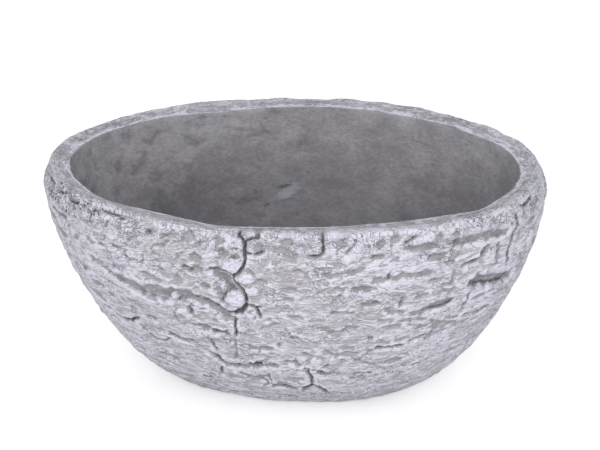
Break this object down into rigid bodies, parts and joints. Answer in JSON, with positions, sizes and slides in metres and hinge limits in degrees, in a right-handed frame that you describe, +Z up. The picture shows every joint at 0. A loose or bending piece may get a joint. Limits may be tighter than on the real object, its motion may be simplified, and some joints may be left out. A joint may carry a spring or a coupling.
{
  "type": "bowl planter",
  "caption": "Oval concrete bowl planter with a bark relief outside, a smooth cavity, a drain hole with a rubber plug and felt pads under its flat foot.",
  "frame": {"origin": "on the ground under the pads, below the middle of the bowl's box", "axes": "+X along the oval's length, +Y from the pictured front to the back, +Z up out of the mouth"},
  "size_m": [0.3196, 0.2411, 0.1491],
  "materials": {
    "concrete": "rough cast cement with a dry-brushed white wash on the bark relief, bare and smooth inside",
    "rubber": "matt moulded rubber",
    "felt": "pressed grey felt"
  },
  "bodies": {
    "bowl": {"bowl_body": "concrete", "foot_pad_1": "felt", "foot_pad_2": "felt", "foot_pad_3": "felt", "foot_pad_4": "felt"},
    "plug": {"drain_plug": "rubber"}
  },
  "joints": [
    {"name": "plug_pull", "type": "slide", "parent": "bowl", "child": "plug", "axis": [0, 0, 1], "range_m": [0, 0.15]}
  ]
}
